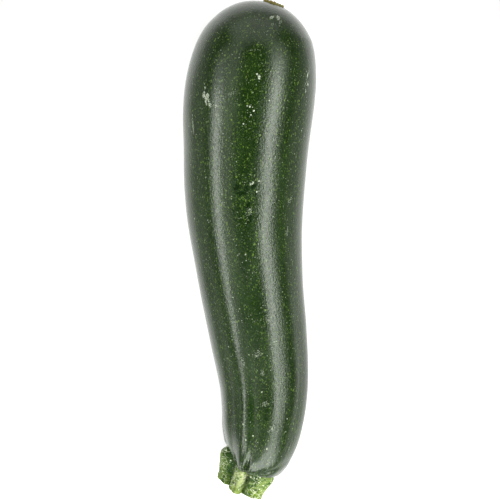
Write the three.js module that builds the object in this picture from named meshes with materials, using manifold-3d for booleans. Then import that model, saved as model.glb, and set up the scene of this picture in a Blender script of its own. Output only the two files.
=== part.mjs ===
// A courgette as picked, lying on a flat surface: the ribbed fruit, the cut stub of its five-ridged
// stem, and the dry scar that the flower left on the crown.
//
// Millimetres, +Z up. The fruit lies along Y with its crown towards +Y and its stem towards -Y. The
// origin is on the surface that it lies on, under the middle of the whole courgette.

import * as THREE from "three";
import { mergeVertices } from "three/addons/utils/BufferGeometryUtils.js";
import Module from "manifold-3d";

const wasm = await Module();
wasm.setup();

// The fruit

// The centre line and girth, by the distance back from the crown: x and z are the middle of the
// section, r its radius. The line wanders in plan as the fruit grew, and dips to the stem.
const FRUIT_STATIONS = [
  { back: 0, x: 7.8, z: 25.7, r: 26.2 },
  { back: 10, x: 5.2, z: 25.2, r: 26.3 },
  { back: 25, x: 1.7, z: 24.7, r: 25.1 },
  { back: 45, x: -0.9, z: 23.8, r: 24.2 },
  { back: 65, x: -1.8, z: 22.6, r: 22.9 },
  { back: 85, x: -1.5, z: 21.2, r: 21.3 },
  { back: 105, x: 0.5, z: 19.7, r: 19.5 },
  { back: 125, x: 3.2, z: 17.9, r: 18.1 },
  { back: 145, x: 5.5, z: 16.1, r: 16.4 },
  { back: 160, x: 4.7, z: 15.5, r: 15.1 },
  { back: 170, x: 2.6, z: 15.0, r: 13.4 },
  { back: 176, x: 0.6, z: 13.4, r: 11.0 },
];
const FRUIT_LENGTH = FRUIT_STATIONS.at(-1).back;
const CROWN_Y = 93.5; // where the centre line starts
const CROWN_HEIGHT = 37.5; // the domed length at the crown
const CROWN_POWER = 2.18; // above 2, so the dome is a little squarer than a ball
const LIP = 1.3; // rounding of the skin where it turns in to the stem
const TIP_RADIUS = 2.4; // the crown stops at this small ring, which the scar covers
// The shoulder draws in on its left, above the stem's ridge on that side.
const SHOULDER_HOLLOW = { angle: -80, halfWidth: 36, depth: 3.0, from: 161, to: 178 };

// Ribs of the skin: five that carry on from the stem's ridges, and five weaker ones between them.
const RIB_COUNT = 10;
const FIRST_RIB = -26; // degrees from the top of the section, towards +X
const RIB_HEIGHT = { strong: 0.65, weak: 0.3 };
const RIB_HALF_WIDTH = { neck: 9, crown: 17 }; // degrees
const RIB_FADE = { crown: 0.3, neck: 1.0 }; // share of the height that a rib keeps there
const RIB_GROWTH = { from: 0.1, to: 0.95 }; // shares of the length between which the ribs sharpen

const FRUIT_RINGS = 58;
const FRUIT_SIDES = 60;
const EVEN_SPACING = 0.35; // the rest of the rings' spacing crowds towards the crown
const LIP_TURNS = [30, 60, 90]; // degrees round the lip

// The stem

// The five ridges and the hollows between them: degrees at the cut from the top towards +X, and the
// radius at the cut and at the flared foot.
const STEM_SECTION = [
  { angle: -158, cut: 9.6, foot: 11.8 },
  { angle: -122, cut: 7.5, foot: 9.2 },
  { angle: -85, cut: 9.8, foot: 12.9 },
  { angle: -43, cut: 7.2, foot: 8.6 },
  { angle: -4, cut: 10.2, foot: 11.0 },
  { angle: 22, cut: 7.6, foot: 8.6 },
  { angle: 68, cut: 9.9, foot: 12.6 },
  { angle: 104, cut: 8.1, foot: 9.4 },
  { angle: 137, cut: 9.7, foot: 11.8 },
  { angle: 170, cut: 7.6, foot: 9.2 },
];
const RIDGE_POWER = 1.3; // 1 gives straight flanks; more gives sharp ridges and round hollows
const STEM_TWIST = 9; // degrees that the ridges turn from the foot to the cut
const FOOT_TUCK = { share: 0.13, length: 3.5 }; // the foot draws in again under the fruit's edge
const STEM_FOOT = { x: 1.6, y: -79.2, z: 13.2 }; // on its centre line, inside the fruit's shoulder
const STEM_LEAN = 24; // degrees in plan, from -Y towards -X
const STEM_DIP = 17; // degrees below the horizontal
const STEM_LENGTH = 13.0; // the foot's flare reaches all along it
const CUT_BULGE = 0.6; // the cut face is a little domed
const STEM_RINGS = 12;
const STEM_SIDES = 72;

// The blossom scar

const SCAR_SEAT = { x: 9.0, y: 92.7, z: 25.6 }; // its middle, on the crown
const SCAR_TURN = 19; // degrees in plan that it faces, from +Y towards +X
const SCAR_RADIUS = 3.9;
const SCAR_PROUD = 0.9; // how far its rim stands out of the crown
const SCAR_RIM = 1.2; // width of the raised rim
const SCAR_HOLLOW = 0.5; // depth of the dish inside the rim
const SCAR_SINK = 2.2; // how far its underside is sunk before the skin is cut away from it
const SCAR_LOBES = 5; // the petals' number shows in the rim's outline
const SCAR_LOBE_DEPTH = 0.07; // share of the radius
const SCAR_SIDES = 40;
// Its half section, from the sunk underside over the rim to the dry style in the middle.
const SCAR_PROFILE = [
  { radius: SCAR_RADIUS - 0.5, rise: -SCAR_SINK },
  { radius: SCAR_RADIUS, rise: 0 },
  { radius: SCAR_RADIUS, rise: SCAR_PROUD - 0.4 },
  { radius: SCAR_RADIUS - 0.3, rise: SCAR_PROUD },
  { radius: SCAR_RADIUS - SCAR_RIM, rise: SCAR_PROUD - 0.2 },
  { radius: SCAR_RADIUS - 2 * SCAR_RIM, rise: SCAR_PROUD - SCAR_HOLLOW },
  { radius: 0.6, rise: SCAR_PROUD - 0.2 },
];

const GAP = 0.3; // clearance between neighbours, so that no two solids share space
const NEARBY = 0.05; // the step along a centre line that gives its direction
const UP = new THREE.Vector3(0, 0, 1);
const radians = THREE.MathUtils.degToRad;

// A smooth curve through the values at rising positions (cubic, with the slope at each position
// taken from its two neighbours).
function through(positions, values, at) {
  const last = positions.length - 1;
  const slope = (k) => {
    const [a, b] = [Math.max(k - 1, 0), Math.min(k + 1, last)];
    return (values[b] - values[a]) / (positions[b] - positions[a]);
  };
  let k = 0;
  while (k < last - 1 && at > positions[k + 1]) k += 1;
  const step = positions[k + 1] - positions[k];
  const t = (at - positions[k]) / step;
  return (
    (2 * t ** 3 - 3 * t ** 2 + 1) * values[k] +
    (t ** 3 - 2 * t ** 2 + t) * step * slope(k) +
    (3 * t ** 2 - 2 * t ** 3) * values[k + 1] +
    (t ** 3 - t ** 2) * step * slope(k + 1)
  );
}

// The difference of two angles in degrees, from -180 to 180.
const turn = (a, b) => ((((a - b) % 360) + 540) % 360) - 180;

// A section's own directions: along the centre line, level to its side, and square to both.
function sectionFrame(along) {
  const side = new THREE.Vector3().crossVectors(along, UP).normalize();
  const rise = new THREE.Vector3().crossVectors(side, along).normalize();
  return { along, side, rise };
}

// A point of a section, at an angle in degrees from its top towards +X.
function sectionPoint(centre, frame, angle, radius) {
  return centre
    .clone()
    .addScaledVector(frame.rise, radius * Math.cos(radians(angle)))
    .addScaledVector(frame.side, -radius * Math.sin(radians(angle)));
}

// A closed body through rings of points, with a fan to a middle point at each end.
function loft(rings, firstMiddle, lastMiddle) {
  const sides = rings[0].length;
  const positions = [...rings.flat(), firstMiddle, lastMiddle].flatMap((p) => [p.x, p.y, p.z]);
  const [first, last] = [rings.length * sides, rings.length * sides + 1];
  const faces = [];
  for (let side = 0; side < sides; side += 1) {
    const next = (side + 1) % sides;
    for (let ring = 0; ring < rings.length - 1; ring += 1) {
      const [a, b] = [ring * sides + side, ring * sides + next];
      faces.push(a, a + sides, b, b, a + sides, b + sides);
    }
    const lastRing = (rings.length - 1) * sides;
    faces.push(first, side, next);
    faces.push(last, lastRing + next, lastRing + side);
  }
  const geometry = new THREE.BufferGeometry();
  geometry.setAttribute("position", new THREE.Float32BufferAttribute(positions, 3));
  geometry.setIndex(faces);
  return geometry;
}

function solidOf(geometry) {
  const bare = geometry.clone();
  bare.deleteAttribute("normal");
  bare.deleteAttribute("uv");
  const merged = mergeVertices(bare, 1e-4);
  const mesh = new wasm.Mesh({
    numProp: 3,
    vertProperties: new Float32Array(merged.getAttribute("position").array),
    triVerts: new Uint32Array(merged.getIndex().array),
  });
  return new wasm.Manifold(mesh);
}

function geometryOf(solid) {
  const mesh = solid.getMesh();
  const geometry = new THREE.BufferGeometry();
  geometry.setAttribute("position", new THREE.BufferAttribute(mesh.vertProperties, 3));
  geometry.setIndex(new THREE.BufferAttribute(mesh.triVerts, 1));
  return geometry;
}

// The fruit's centre line and plain radius at a distance back from the crown.
const BACKS = FRUIT_STATIONS.map((station) => station.back);

function fruitCentre(back) {
  const value = (name) => through(BACKS, FRUIT_STATIONS.map((station) => station[name]), back);
  return new THREE.Vector3(value("x"), CROWN_Y - back, value("z"));
}

function fruitFrame(back) {
  const [from, to] = [Math.max(back - NEARBY, 0), Math.min(back + NEARBY, FRUIT_LENGTH)];
  return sectionFrame(fruitCentre(to).sub(fruitCentre(from)).normalize());
}

function fruitRadius(back) {
  const girth = through(BACKS, FRUIT_STATIONS.map((station) => station.r), back);
  const dome = 1 - Math.max(0, 1 - back / CROWN_HEIGHT) ** CROWN_POWER;
  return girth * dome ** (1 / CROWN_POWER);
}

// How far the ribs raise the skin at a place.
function ribHeight(back, angle) {
  const grow = THREE.MathUtils.smoothstep(back / FRUIT_LENGTH, RIB_GROWTH.from, RIB_GROWTH.to);
  const width = THREE.MathUtils.lerp(RIB_HALF_WIDTH.crown, RIB_HALF_WIDTH.neck, grow);
  const keep = THREE.MathUtils.lerp(RIB_FADE.crown, RIB_FADE.neck, grow);
  const dome = Math.min(1, back / CROWN_HEIGHT);
  let height = 0;
  for (let rib = 0; rib < RIB_COUNT; rib += 1) {
    const off = turn(angle, FIRST_RIB + (360 / RIB_COUNT) * rib);
    const full = rib % 2 ? RIB_HEIGHT.weak : RIB_HEIGHT.strong;
    height += full * Math.exp(-((off / width) ** 2));
  }
  return height * keep * dome;
}

function shoulderHollow(back, angle) {
  const { halfWidth, depth, from, to } = SHOULDER_HOLLOW;
  const off = turn(angle, SHOULDER_HOLLOW.angle) / halfWidth;
  return depth * THREE.MathUtils.smoothstep(back, from, to) * Math.exp(-(off ** 2));
}

// One ring of the skin; grow moves the skin outwards, for cutting a neighbour clear of it.
function fruitRing(back, inset = 0, grow = 0) {
  const centre = fruitCentre(back);
  const frame = fruitFrame(back);
  const ring = [];
  for (let side = 0; side < FRUIT_SIDES; side += 1) {
    const angle = (360 * side) / FRUIT_SIDES;
    const relief = ribHeight(back, angle) - shoulderHollow(back, angle);
    const radius = fruitRadius(back) + relief - inset + grow;
    const point = sectionPoint(centre, frame, angle, radius);
    point.z = Math.max(point.z, -grow); // the underside is flat where it bears on the surface
    ring.push(point);
  }
  return ring;
}

function fruitGeometry(grow = 0) {
  const tipShare = TIP_RADIUS / FRUIT_STATIONS[0].r;
  const startBack = CROWN_HEIGHT * (1 - (1 - tipShare ** CROWN_POWER) ** (1 / CROWN_POWER));
  const endBack = FRUIT_LENGTH - LIP;
  const rings = [];
  for (let ring = 0; ring < FRUIT_RINGS; ring += 1) {
    const share = ring / (FRUIT_RINGS - 1);
    const crowded = 1 - Math.cos((Math.PI / 2) * share);
    const spaced = THREE.MathUtils.lerp(crowded, share, EVEN_SPACING);
    rings.push(fruitRing(startBack + (endBack - startBack) * spaced, 0, grow));
  }
  for (const lipTurn of LIP_TURNS) {
    const turned = radians(lipTurn);
    const back = endBack + LIP * Math.sin(turned);
    rings.push(fruitRing(back, LIP * (1 - Math.cos(turned)), grow));
  }
  const crown = fruitCentre(startBack);
  crown.addScaledVector(fruitFrame(startBack).along, -grow);
  const end = fruitCentre(FRUIT_LENGTH);
  end.addScaledVector(fruitFrame(FRUIT_LENGTH).along, grow);
  return loft(rings, crown, end);
}

const stemDirection = new THREE.Vector3(
  -Math.sin(radians(STEM_LEAN)) * Math.cos(radians(STEM_DIP)),
  -Math.cos(radians(STEM_LEAN)) * Math.cos(radians(STEM_DIP)),
  -Math.sin(radians(STEM_DIP)),
);

// The stem's radius at an angle: sharp at each ridge and round in each hollow.
function stemRadius(angle, flare) {
  const count = STEM_SECTION.length;
  for (let k = 0; k < count; k += 1) {
    const [here, next] = [STEM_SECTION[k], STEM_SECTION[(k + 1) % count]];
    const span = turn(next.angle, here.angle);
    const off = turn(angle, here.angle);
    if (off < 0 || off > span) continue;
    const size = (row) => THREE.MathUtils.lerp(row.cut, row.foot, flare);
    const [ridge, hollow] = k % 2 ? [next, here] : [here, next];
    const rise = k % 2 ? off / span : 1 - off / span;
    return size(hollow) + (size(ridge) - size(hollow)) * rise ** RIDGE_POWER;
  }
  throw new Error("no stem section at " + angle);
}

function stemGeometry() {
  const foot = new THREE.Vector3(STEM_FOOT.x, STEM_FOOT.y, STEM_FOOT.z);
  const frame = sectionFrame(stemDirection);
  const rings = [];
  for (let ring = 0; ring <= STEM_RINGS; ring += 1) {
    const along = (STEM_LENGTH * ring) / STEM_RINGS;
    const flare = 1 - THREE.MathUtils.smoothstep(along, 0, STEM_LENGTH);
    const tuck = 1 - FOOT_TUCK.share * (1 - THREE.MathUtils.smoothstep(along, 0, FOOT_TUCK.length));
    const centre = foot.clone().addScaledVector(stemDirection, along);
    const points = [];
    for (let side = 0; side < STEM_SIDES; side += 1) {
      const angle = (360 * side) / STEM_SIDES - 180;
      const turned = angle + STEM_TWIST * (1 - along / STEM_LENGTH);
      points.push(sectionPoint(centre, frame, angle, tuck * stemRadius(turned, flare)));
    }
    rings.push(points);
  }
  const cutMiddle = foot.clone().addScaledVector(stemDirection, STEM_LENGTH + CUT_BULGE);
  const whole = solidOf(loft(rings, foot, cutMiddle));
  return geometryOf(whole.subtract(solidOf(fruitGeometry(GAP))));
}

// A low dished button with a raised, lobed rim, cut to sit on the crown.
function scarGeometry() {
  const outward = new THREE.Vector3(Math.sin(radians(SCAR_TURN)), Math.cos(radians(SCAR_TURN)), 0);
  const frame = sectionFrame(outward);
  const seat = new THREE.Vector3(SCAR_SEAT.x, SCAR_SEAT.y, SCAR_SEAT.z);
  const rings = SCAR_PROFILE.map(({ radius, rise }) => {
    const centre = seat.clone().addScaledVector(outward, rise);
    const points = [];
    for (let side = 0; side < SCAR_SIDES; side += 1) {
      const angle = (360 * side) / SCAR_SIDES;
      const lobes = 1 + SCAR_LOBE_DEPTH * Math.cos(radians(SCAR_LOBES * angle));
      points.push(sectionPoint(centre, frame, angle, radius * lobes));
    }
    return points;
  });
  const under = seat.clone().addScaledVector(outward, -SCAR_SINK);
  const style = seat.clone().addScaledVector(outward, SCAR_PROUD);
  const whole = solidOf(loft(rings, under, style));
  return geometryOf(whole.subtract(solidOf(fruitGeometry(GAP))));
}

function piece(name, geometry, look) {
  const mesh = new THREE.Mesh(geometry, new THREE.MeshStandardMaterial(look));
  mesh.name = name;
  return mesh;
}

const courgette = new THREE.Group();
courgette.add(
  piece("fruit", fruitGeometry(), { color: 0x2c4a1e, roughness: 0.42, metalness: 0 }),
  piece("stem", stemGeometry(), { color: 0x9db662, roughness: 0.7, metalness: 0 }),
  piece("blossom_scar", scarGeometry(), { color: 0x8a6a3c, roughness: 0.85, metalness: 0 }),
);

// The origin goes under the middle of the whole, on the surface.
const box = new THREE.Box3().setFromObject(courgette);
const middle = box.getCenter(new THREE.Vector3());
courgette.position.set(-middle.x, -middle.y, -box.min.z);

export default courgette;
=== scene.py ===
"""A courgette as picked: its fine skin, stem, bristles and blossom scar, on a pale stage.

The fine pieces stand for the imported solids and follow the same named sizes, in metres. The fruit lies
along Y with its crown towards +Y and its stem towards -Y, and the camera looks straight down on it.
"""

import math

import bpy
import numpy as np
from bpy.props import FloatProperty, FloatVectorProperty, IntProperty, PointerProperty
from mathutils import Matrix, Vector, noise


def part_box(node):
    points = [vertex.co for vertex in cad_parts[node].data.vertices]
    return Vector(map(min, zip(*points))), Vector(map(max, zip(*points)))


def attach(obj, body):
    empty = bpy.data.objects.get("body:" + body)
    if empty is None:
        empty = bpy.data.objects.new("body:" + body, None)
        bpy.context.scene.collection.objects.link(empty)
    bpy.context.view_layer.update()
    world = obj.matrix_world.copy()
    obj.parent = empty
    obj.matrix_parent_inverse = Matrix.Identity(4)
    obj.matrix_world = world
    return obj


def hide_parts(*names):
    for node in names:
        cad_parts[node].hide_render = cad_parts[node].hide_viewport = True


bl_info = {
    "name": "Courgette",
    "version": (1, 0, 0),
    "blender": (4, 5, 0),
    "location": "View3D > Sidebar > Courgette",
    "description": "Builds the fine skin, stem and blossom scar of a courgette, and its stage",
    "category": "Add Mesh",
}

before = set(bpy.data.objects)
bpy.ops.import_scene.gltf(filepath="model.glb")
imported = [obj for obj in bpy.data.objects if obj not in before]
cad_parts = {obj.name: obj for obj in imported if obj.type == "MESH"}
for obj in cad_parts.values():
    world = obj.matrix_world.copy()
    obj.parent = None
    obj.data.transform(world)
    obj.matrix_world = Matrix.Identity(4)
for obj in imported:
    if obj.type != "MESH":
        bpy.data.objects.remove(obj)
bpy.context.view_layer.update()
MM = 0.001
UP = np.array((0.0, 0.0, 1.0))

# The fruit's centre line and girth in mm: distance back from the crown, x and z of the middle, radius.
FRUIT_STATIONS = (
    (0, 7.8, 25.7, 26.2),
    (10, 5.2, 25.2, 26.3),
    (25, 1.7, 24.7, 25.1),
    (45, -0.9, 23.8, 24.2),
    (65, -1.8, 22.6, 22.9),
    (85, -1.5, 21.2, 21.3),
    (105, 0.5, 19.7, 19.5),
    (125, 3.2, 17.9, 18.1),
    (145, 5.5, 16.1, 16.4),
    (160, 4.7, 15.5, 15.1),
    (170, 2.6, 15.0, 13.4),
    (176, 0.6, 13.4, 11.0),
)
BACK, MIDDLE_X, MIDDLE_Z, GIRTH = (np.array(column) * MM for column in zip(*FRUIT_STATIONS))
FRUIT_LENGTH = BACK[-1]
CROWN_Y = 93.5 * MM
CROWN_HEIGHT = 37.5 * MM
CROWN_POWER = 2.18
LIP = 1.3 * MM
LIP_RINGS = 9
END_RINGS = 14
END_HOLLOW = 1.5 * MM
NEARBY = 0.05 * MM

# The ribs: angles are degrees from the top of a section towards +X.
RIB_COUNT = 10
FIRST_RIB = -26
STRONG_RIB = 0.65 * MM
WEAK_RIB = 0.3 * MM
RIB_HALF_WIDTH = (17, 9)  # at the crown and at the neck
RIB_FADE = (0.3, 1.0)  # how much of its height a rib has at the crown and at the neck
RIB_GROWTH = (0.3, 1.1)  # the shares of the length between which the ribs grow
SHOULDER_HOLLOW = {"angle": -80, "half_width": 36, "depth": 3.0 * MM, "from": 161 * MM, "to": 178 * MM}

ARC_STEPS = 6000
FRUIT_RINGS = 350
FRUIT_SIDES = 256
POLE_RADIUS = 0.3 * MM

# Places where the skin draws in or swells: where the middle is, how far it stands out in mm, and its reach.
SWELLS = (
    {"back": 55, "angle": -88, "out": -0.4, "along": 9, "round": 30},
    {"back": 92, "angle": -88, "out": -0.3, "along": 9, "round": 30},
    {"back": 174, "angle": -52, "out": -1.5, "along": 7, "round": 20},
    {"back": 176, "angle": -33, "out": -0.9, "along": 4, "round": 12},
    {"back": 159, "angle": -84, "out": -0.35, "along": 6, "round": 26},
    {"back": 31, "angle": 70, "out": -0.25, "along": 7, "round": 22},
    {"back": 108, "angle": -4, "out": -0.25, "along": 10, "round": 14},
    {"back": 74, "angle": 6, "out": -0.2, "along": 7, "round": 16},
    {"back": 128, "angle": 100, "out": 0.3, "along": 12, "round": 25},
)

# Low relief that only the fine skin has. A row is an angle, its half width in degrees, and the rise in mm.
FLANK = ((77.0, 15.0, 0.3), (51.0, 12.0, -0.35))
FLANK_START = (15 * MM, 45 * MM)
FLANK_END = (155 * MM, 176 * MM)
SMOOTH_SIDE = {"angle": 48.0, "half_width": 34.0, "share": 0.8}
SMOOTH_REACH = (135 * MM, 165 * MM)
NECK_RIB = ((0.0, 7.5, 0.14), (-12.0, 5.0, -0.1), (10.0, 4.5, -0.16))  # angles from the rib's own line
NECK_RIB_LINE = (-26.0, -17.0)
NECK_RIB_BEND = (145 * MM, 174 * MM)
NECK_RIB_REACH = (118 * MM, 160 * MM)
NOTCH_REACH = (169 * MM, 174 * MM)
FOLDS = (
    (-15.0, 3.6, 0.55, (162 * MM, 172 * MM)),
    (-3.0, 4.0, 0.6, NOTCH_REACH),
    (-9.0, 2.0, -1.1, NOTCH_REACH),
)
CREASE = {"angle": 38.0, "half_width": 20.0, "depth": 0.4 * MM, "width": 0.8 * MM}
CREASE_START = {"angle": 15.0, "back": 174 * MM, "slope": 3.5 * MM / 45.0}
LUMP_SIZE = 17 * MM
LUMP_REACH = (2 * MM, 20 * MM)
WRINKLE_SIZE = 1.6 * MM
WRINKLE_REACH = (105 * MM, 165 * MM)
WRINKLES_ELSEWHERE = 0.1
PUCKER_SIZE = 2.2 * MM
PUCKER_HEIGHT = 0.1 * MM

# Grooves on both sides of the rib that meets the stem's top ridge, painted dark: partly the skin's own
# deeper green and partly painted shade in them. Degrees from that rib.
GROOVES = (-10.0, 9.0)
GROOVE_HALF_WIDTH = 4.0
GROOVE_REACH = (100 * MM, 160 * MM)

# The pattern on the skin is laid on a fruit of more even girth, so it isn't crowded at the neck.
PATTERN_GIRTH = GIRTH[3]
PATTERN_EVENNESS = 0.4
POLE_SHARE = 0.06  # how wide the last ring of the stem end is

# The stem's ridges and hollows: degrees at the cut, and the radius at the cut and at the flared foot in mm.
STEM_SECTION = (
    (-158, 9.6, 11.8),
    (-122, 7.5, 9.2),
    (-85, 9.8, 12.9),
    (-43, 7.2, 8.6),
    (-4, 10.2, 11.0),
    (10, 7.6, 8.6),
    (60, 9.9, 12.6),
    (104, 8.1, 9.4),
    (137, 9.7, 11.8),
    (170, 7.6, 9.2),
)
RIDGE_POWER = 1.3
RIDGE_BLUNTNESS = (0.012, 0.11)  # how much a ridge's top is rounded, and lifted back to full height
STEM_TWIST = 9
FOOT_TUCK = 0.13
FOOT_TUCK_LENGTH = 3.5 * MM
STEM_FOOT = np.array((1.6, -79.2, 13.2)) * MM
STEM_LEAN = math.radians(24)
STEM_DIP = math.radians(17)
STEM_LENGTH = 13.0 * MM
CUT_BULGE = 0.6 * MM
CUT_DIMPLE = 0.5 * MM
CUT_DIMPLE_REACH = 0.22  # a share of the cut's radius
CUT_PITH = 0.1 * MM
CUT_PITH_SIZE = 1.4 * MM
CUT_POLE_SHARE = 0.03  # how wide the last ring of the cut is
CUT_TEAR = 0.35 * MM
CUT_TEAR_SIZE = 3.0 * MM
CUT_TEAR_START = 0.6 * STEM_LENGTH
FIBRE_HEIGHT = 0.14 * MM
FIBRE_SIZE = 1.1 * MM
WART_HEIGHT = 0.3 * MM
WART_SIZE = 1.5 * MM
HOLLOW_DEPTH = 1.5 * MM
HOLLOW_SHARPNESS = 4
PATTERN_RADIUS = 9 * MM
# Where the stem is palest, partly its own cream and partly painted light on the ridges that face up, and
# where painted shade lies in its hollows and at its foot: angle, half width in degrees, and how much.
PALE_AND_LIT_RIDGES = ((-4.0, 34.0, 0.45), (80.0, 30.0, 0.12))
OTHER_RIDGES = 0.55
SHADED_HOLLOWS = ((-56.0, 24.0, 1.0), (22.0, 12.0, 0.9))
SHADED_FOOT = (-90.0, 45.0)
# Shares of the stem's length between which the painted shade at the foot ends and the ridges turn pale.
FOOT_SHADE_END = (0.05, 0.35)
PALE_START = (0.0, 0.4)
# How pale the ridges still are at the foot, in the fruit's painted shadow.
PALE_IN_FOOT_SHADE = 0.25
STEM_RINGS = 96
STEM_SIDES = 300
CUT_RINGS = 40

# The blossom scar.
SCAR_SEAT = np.array((9.0, 92.7, 25.6)) * MM
SCAR_TURN = math.radians(19)
SCAR_RADIUS = 3.9 * MM
SCAR_PROUD = 0.9 * MM
SCAR_RIM = 1.2 * MM
SCAR_HOLLOW = 0.5 * MM
SCAR_SINK = 1.4 * MM
SCAR_LOBES = 5
SCAR_LOBE_DEPTH = 0.07
# From the sunk edge to the style in the middle: share of the way, radius, and how far it stands out.
SCAR_PROFILE = (
    (0.0, SCAR_RADIUS - 0.3 * MM, -SCAR_SINK),
    (0.12, SCAR_RADIUS, 0.0),
    (0.22, SCAR_RADIUS, SCAR_PROUD - 0.35 * MM),
    (0.3, SCAR_RADIUS - 0.3 * MM, SCAR_PROUD),
    (0.42, SCAR_RADIUS - SCAR_RIM, SCAR_PROUD - 0.25 * MM),
    (0.7, SCAR_RADIUS - 2 * SCAR_RIM, SCAR_PROUD - SCAR_HOLLOW),
    (0.88, 0.6 * MM, SCAR_PROUD - 0.25 * MM),
    (1.0, 0.08 * MM, SCAR_PROUD),
)
RIM_REACH = (0.27, 0.12)  # where the rim lies on the way inwards, and how far it reaches
RIM_CRUMPLE = 0.22 * MM
RIM_FOLDS = 0.14 * MM
RIM_FOLD_SIZE = 0.5 * MM
RIM_FOLD_RADIUS = 4.0 * MM
RIM_FLARE = 0.3 * MM
SCAR_CRUMPLE = 0.07 * MM
SCAR_CRUMPLE_SIZE = 0.8 * MM
SCAR_RINGS = 44
SCAR_SIDES = 180

# The camera looks straight down from a metre above the surface, at the photo's scale.
PIXELS = 500
CAMERA_HEIGHT = 1.0
MM_PER_PIXEL = 0.38
SCALE_HEIGHT = 20 * MM
SENSOR = 36.0
CAMERA_X = 0.13 * MM
CAMERA_Y = 0.19 * MM


def smoothstep(value, low, high):
    share = np.clip((value - low) / (high - low), 0.0, 1.0)
    return share * share * (3.0 - 2.0 * share)


def lerp(start, end, share):
    return start + (end - start) * share


def turn(a, b):
    """The difference of two angles in degrees, from -180 to 180."""
    return np.mod(a - b + 180.0, 360.0) - 180.0


def bump(value, middle, half_width):
    return np.exp(-(((value - middle) / half_width) ** 2))


def lobe(angle, middle, half_width):
    """A bump round the piece: 1 at its middle angle, falling off over its half width in degrees."""
    return bump(turn(angle, middle), 0.0, half_width)


def unit(vectors):
    return vectors / np.linalg.norm(vectors, axis=-1, keepdims=True)


def through(values, at):
    """A smooth curve through the stations' values, with each slope taken from the two neighbours."""
    slopes = np.empty_like(values)
    slopes[1:-1] = (values[2:] - values[:-2]) / (BACK[2:] - BACK[:-2])
    slopes[0] = (values[1] - values[0]) / (BACK[1] - BACK[0])
    slopes[-1] = (values[-1] - values[-2]) / (BACK[-1] - BACK[-2])
    k = np.clip(np.searchsorted(BACK, at, side="left") - 1, 0, len(BACK) - 2)
    step = BACK[k + 1] - BACK[k]
    t = (at - BACK[k]) / step
    return (
        (2 * t**3 - 3 * t**2 + 1) * values[k]
        + (t**3 - 2 * t**2 + t) * step * slopes[k]
        + (3 * t**2 - 2 * t**3) * values[k + 1]
        + (t**3 - t**2) * step * slopes[k + 1]
    )


def section_frame(along):
    side = unit(np.cross(along, UP))
    rise = unit(np.cross(side, along))
    return side, rise


def section_points(centre, side, rise, angle, radius):
    turned = np.radians(angle)
    up = rise * (radius * np.cos(turned))[..., None]
    across = side * (radius * np.sin(turned))[..., None]
    return centre + up - across


def fruit_centre(back):
    return np.stack([through(MIDDLE_X, back), CROWN_Y - back, through(MIDDLE_Z, back)], axis=-1)


def fruit_along(back):
    before = fruit_centre(np.maximum(back - NEARBY, 0.0))
    after = fruit_centre(np.minimum(back + NEARBY, FRUIT_LENGTH))
    return unit(after - before)


def fruit_dome(back):
    return (1 - np.maximum(0.0, 1 - back / CROWN_HEIGHT) ** CROWN_POWER) ** (1 / CROWN_POWER)


def fruit_radius(back):
    return through(GIRTH, back) * fruit_dome(back)


def rib_heights(back, angle, strong, weak):
    grow = smoothstep(back / FRUIT_LENGTH, *RIB_GROWTH)
    width = lerp(*RIB_HALF_WIDTH, grow)
    keep = lerp(*RIB_FADE, grow) * np.minimum(1.0, back / CROWN_HEIGHT)
    height = np.zeros(np.broadcast(back, angle).shape)
    for rib in range(RIB_COUNT):
        full = weak if rib % 2 else strong
        height += full * lobe(angle, FIRST_RIB + 360 / RIB_COUNT * rib, width)
    return height * keep


def shoulder_hollow(back, angle):
    hollow = SHOULDER_HOLLOW
    reach = smoothstep(back, hollow["from"], hollow["to"])
    return hollow["depth"] * reach * lobe(angle, hollow["angle"], hollow["half_width"])


def swells(back, angle):
    out = np.zeros(np.broadcast(back, angle).shape)
    for swell in SWELLS:
        reach = bump(back, swell["back"] * MM, swell["along"] * MM)
        out += swell["out"] * MM * reach * lobe(angle, swell["angle"], swell["round"])
    return out


def soft_noise(points, scale, stretch=(1.0, 1.0, 1.0), octaves=2):
    """Smooth noise from about -1 to 1 at each point; scale is the size of its lumps in metres."""
    flat = (points / scale * np.array(stretch)).reshape(-1, 3)
    values = np.array([noise.fractal(Vector(p), 1.0, 2.0, octaves) for p in flat])
    return values.reshape(points.shape[:-1])


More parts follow.
